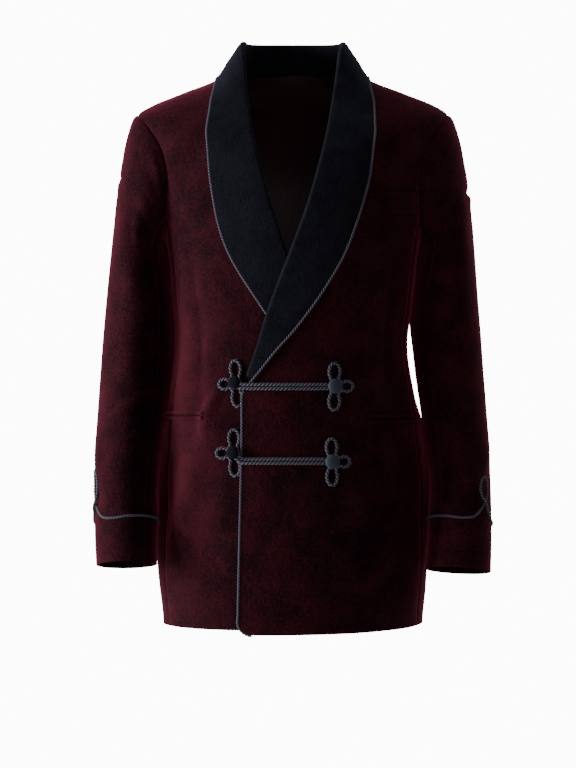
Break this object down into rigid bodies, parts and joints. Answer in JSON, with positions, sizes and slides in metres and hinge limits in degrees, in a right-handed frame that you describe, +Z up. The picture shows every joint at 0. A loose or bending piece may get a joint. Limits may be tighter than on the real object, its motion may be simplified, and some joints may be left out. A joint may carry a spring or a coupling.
{
  "type": "tuxedo jacket",
  "caption": "Hip-length velvet tuxedo jacket in smoking style with a shawl collar, twisted-cord edging, frog fastenings and cuff knots, in its hollow worn form.",
  "frame": {"origin": "midway between the neck ends of the shoulder seams, where the shoulders hold the jacket up", "axes": "+Z up, -Y towards the front, +X towards the wearer's left"},
  "size_m": [0.565, 0.2734, 0.839],
  "materials": {
    "velvet": "burgundy cotton velvet, short even pile",
    "collar_velvet": "black velvet, short even pile",
    "cord": "blue-black twisted cord with a soft shine",
    "covered_button": "blue-grey cloth-covered dome"
  },
  "bodies": {
    "root": {"front_left": "velvet", "front_right": "velvet", "side_left": "velvet", "side_right": "velvet", "back_left": "velvet", "back_right": "velvet", "sleeve_top_left": "velvet", "sleeve_top_right": "velvet", "sleeve_under_left": "velvet", "sleeve_under_right": "velvet", "hip_pocket_left_upper": "velvet", "hip_pocket_left_lower": "velvet", "hip_pocket_right_upper": "velvet", "hip_pocket_right_lower": "velvet", "breast_welt": "velvet", "collar_left": "collar_velvet", "collar_right": "collar_velvet", "collar_cord": "cord", "front_edge_cord": "cord", "cuff_cord_left": "cord", "cuff_cord_right": "cord", "frog_upper_trefoil_left": "cord", "frog_upper_trefoil_right": "cord", "frog_upper_loop": "cord", "frog_lower_trefoil_left": "cord", "frog_lower_trefoil_right": "cord", "frog_lower_loop": "cord", "frog_upper_button_left": "covered_button", "frog_upper_button_right": "collar_velvet", "frog_lower_button_left": "covered_button", "frog_lower_button_right": "collar_velvet"}
  },
  "joints": []
}
